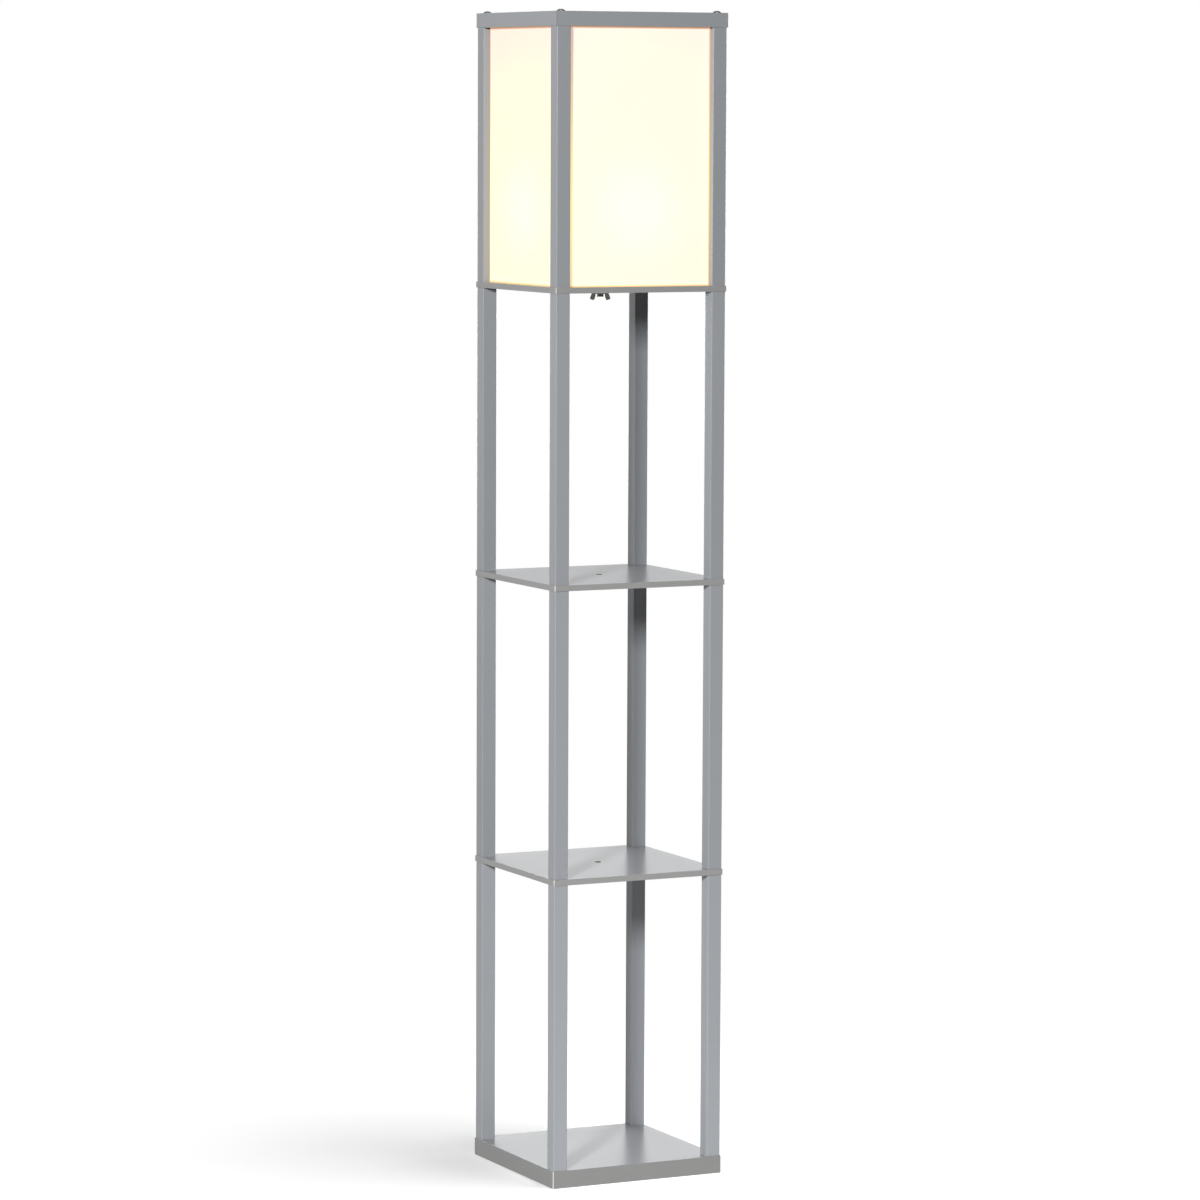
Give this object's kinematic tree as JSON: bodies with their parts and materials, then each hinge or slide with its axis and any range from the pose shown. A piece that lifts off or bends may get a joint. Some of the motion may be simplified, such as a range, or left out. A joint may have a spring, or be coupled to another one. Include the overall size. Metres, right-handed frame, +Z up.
{
  "type": "shelf floor lamp",
  "caption": "Square tower floor lamp: open shelves on corner posts over a thick base, under a tall lit shade of translucent panels with an open top frame.",
  "frame": {"origin": "centre of the base board's underside, on the floor", "axes": "+Z up; -Y is the front, the wide lit face in the picture; -X is the lamp's left side"},
  "size_m": [0.258, 0.258, 1.6028],
  "materials": {
    "grey_foil": "satin foil wrapped over fibreboard",
    "edging": "satin edge band",
    "diffuser": "translucent film faced with fine linen cloth",
    "zinc_steel": "zinc plated",
    "black_steel": "black zinc",
    "lampholder_plastic": "moulded black",
    "core_plastic": "moulded white",
    "brass": "plain",
    "cap_metal": "nickel plated",
    "black_glass": "black, opaque",
    "bulb_plastic": "moulded white",
    "opal_plastic": "opal",
    "led_aluminium": "white solder mask",
    "circuit_board": "green solder mask"
  },
  "bodies": {
    "lamp": {"lower_post_front_left": "grey_foil", "lower_post_front_right": "grey_foil", "lower_post_back_left": "grey_foil", "lower_post_back_right": "grey_foil", "middle_post_front_left": "grey_foil", "middle_post_front_right": "grey_foil", "middle_post_back_left": "grey_foil", "middle_post_back_right": "grey_foil", "upper_post_front_left": "grey_foil", "upper_post_front_right": "grey_foil", "upper_post_back_left": "grey_foil", "upper_post_back_right": "grey_foil", "shade_post_front_left": "grey_foil", "shade_post_front_right": "grey_foil", "shade_post_back_left": "grey_foil", "shade_post_back_right": "grey_foil", "top_rail_front": "grey_foil", "diffuser_front": "diffuser", "top_rail_back": "grey_foil", "diffuser_back": "diffuser", "top_rail_left": "grey_foil", "diffuser_left": "diffuser", "top_rail_right": "grey_foil", "diffuser_right": "diffuser", "base_board": "grey_foil", "lower_shelf": "grey_foil", "middle_shelf": "grey_foil", "shade_floor": "grey_foil", "base_edging": "edging", "lower_shelf_edging": "edging", "middle_shelf_edging": "edging", "shade_floor_edging": "edging", "base_bolts": "zinc_steel", "lower_shelf_studs": "zinc_steel", "middle_shelf_studs": "zinc_steel", "shade_floor_studs": "zinc_steel", "lower_post_inserts": "zinc_steel", "middle_post_inserts": "zinc_steel", "upper_post_inserts": "zinc_steel", "shade_post_inserts": "zinc_steel", "top_screws": "black_steel", "threaded_nipple": "zinc_steel", "lampholder_cap": "lampholder_plastic", "lampholder_skirt": "lampholder_plastic", "lampholder_core": "core_plastic", "terminal_screws": "brass", "screw_shell": "brass", "contact_tongue": "brass"},
    "bulb_travel": {"bulb_foot_contact": "brass"},
    "bulb": {"bulb_globe": "opal_plastic", "bulb_housing": "bulb_plastic", "bulb_led_board": "led_aluminium", "bulb_driver_board": "circuit_board", "bulb_cap": "cap_metal", "bulb_cap_insulator": "black_glass"},
    "washer": {"washer": "zinc_steel"},
    "wing_nut": {"wing_nut": "zinc_steel"}
  },
  "joints": [
    {"name": "bulb_lift", "type": "slide", "parent": "lamp", "child": "bulb_travel", "axis": [0, 0, 1], "range_m": [0, 0.0109]},
    {"name": "bulb_turn", "type": "hinge", "parent": "bulb_travel", "child": "bulb", "pos_m": [0, 0, 1.2585], "axis": [0, 0, 1], "range_deg": [0, 1080]},
    {"name": "washer_drop", "type": "slide", "parent": "lamp", "child": "washer", "axis": [0, 0, -1], "range_m": [0, 0.004]},
    {"name": "wing_nut_turn", "type": "hinge", "parent": "washer", "child": "wing_nut", "pos_m": [0, 0, 1.2205], "axis": [0, 0, -1], "range_deg": [0, 1440]}
  ],
  "couplings": [
    {"joint": "bulb_lift", "follows": "bulb_turn", "m_per_rad": 0.00057757},
    {"joint": "washer_drop", "follows": "wing_nut_turn", "m_per_rad": 0.00015915}
  ]
}
